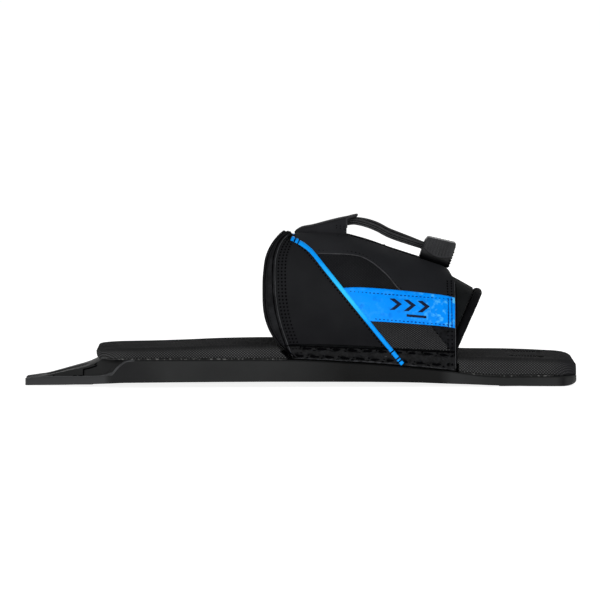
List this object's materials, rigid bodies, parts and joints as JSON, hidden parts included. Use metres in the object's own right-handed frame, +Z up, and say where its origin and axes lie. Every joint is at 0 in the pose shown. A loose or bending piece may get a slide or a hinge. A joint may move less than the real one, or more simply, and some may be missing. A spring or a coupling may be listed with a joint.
{
  "type": "rear toe plate binding for a slalom water ski",
  "caption": "Ribbed moulded plate with screw slots, foam footbed and a sewn neoprene toe upper drawn shut by a lace with a sliding spring lock.",
  "frame": {"origin": "middle of the plate, on the plane of its soles", "axes": "+X towards the toes along the plate, +Z up from the ski, the side shown in the reference view faces -Y"},
  "size_m": [0.35, 0.105, 0.1073],
  "materials": {
    "plate": "satin moulded glass-filled nylon, black",
    "foam": "closed-cell foam with a fine embossed texture, dark grey",
    "neoprene": "stretch-faced neoprene, black",
    "binding": "folded neoprene edge binding, black",
    "tongue": "padded tongue fabric, black",
    "keeper": "matt moulded rubber, dark grey",
    "quarter": "coated overlay fabric, near black",
    "vamp": "coated overlay fabric, near black",
    "mesh": "knitted mesh, dark grey",
    "band": "glossy blue film",
    "hem": "stitched and puckered hem fabric, near black",
    "gusset": "smooth coated fabric, near black",
    "webbing": "woven webbing, black",
    "lace": "round braided lace, dark grey",
    "lock": "moulded plastic, dark grey",
    "slider": "ribbed moulded plastic, dark grey",
    "steel": "stainless steel"
  },
  "bodies": {
    "root": {"base_plate": "plate", "clamp_nut_far_1": "steel", "clamp_nut_far_2": "steel", "clamp_nut_far_3": "steel", "clamp_nut_far_4": "steel", "clamp_nut_near_1": "steel", "clamp_nut_near_2": "steel", "clamp_nut_near_3": "steel", "clamp_nut_near_4": "steel", "clamp_screw_far_1": "steel", "clamp_screw_far_2": "steel", "clamp_screw_far_3": "steel", "clamp_screw_far_4": "steel", "clamp_screw_near_1": "steel", "clamp_screw_near_2": "steel", "clamp_screw_near_3": "steel", "clamp_screw_near_4": "steel", "clamp_strip_far": "steel", "clamp_strip_near": "steel", "footbed": "foam", "hem_far": "hem", "hem_near": "hem", "lace_keeper": "keeper", "lace_loop_1_far": "webbing", "lace_loop_1_near": "webbing", "lace_loop_2_far": "webbing", "lace_loop_2_near": "webbing", "lace_loop_3_far": "webbing", "lace_loop_3_near": "webbing", "lace_strand_far": "lace", "lace_strand_near": "lace", "lacing_far": "lace", "lacing_near": "lace", "liner": "neoprene", "mesh_lower_far": "mesh", "mesh_lower_near": "mesh", "mesh_upper_far": "mesh", "mesh_upper_near": "mesh", "quarter_panel_far": "quarter", "quarter_panel_near": "quarter", "rear_binding": "binding", "side_band_far": "band", "side_band_near": "band", "side_stripe_far": "band", "side_stripe_near": "band", "toe_collar": "neoprene", "toe_gusset_far": "gusset", "toe_gusset_near": "gusset", "tongue": "tongue", "vamp_panel_far": "vamp", "vamp_panel_near": "vamp"},
    "lace_lock": {"lock_housing": "lock", "lock_spring": "steel"},
    "lock_release": {"lock_slider": "slider"}
  },
  "joints": [
    {"name": "lock_slide", "type": "slide", "parent": "root", "child": "lace_lock", "axis": [-0.9397, 0, 0.342], "range_m": [0, 0.014]},
    {"name": "lock_release", "type": "slide", "parent": "lace_lock", "child": "lock_release", "axis": [0.9397, 0, -0.342], "range_m": [0, 0.003], "stiffness_N_per_m": 200, "springref_m": -0.002}
  ]
}
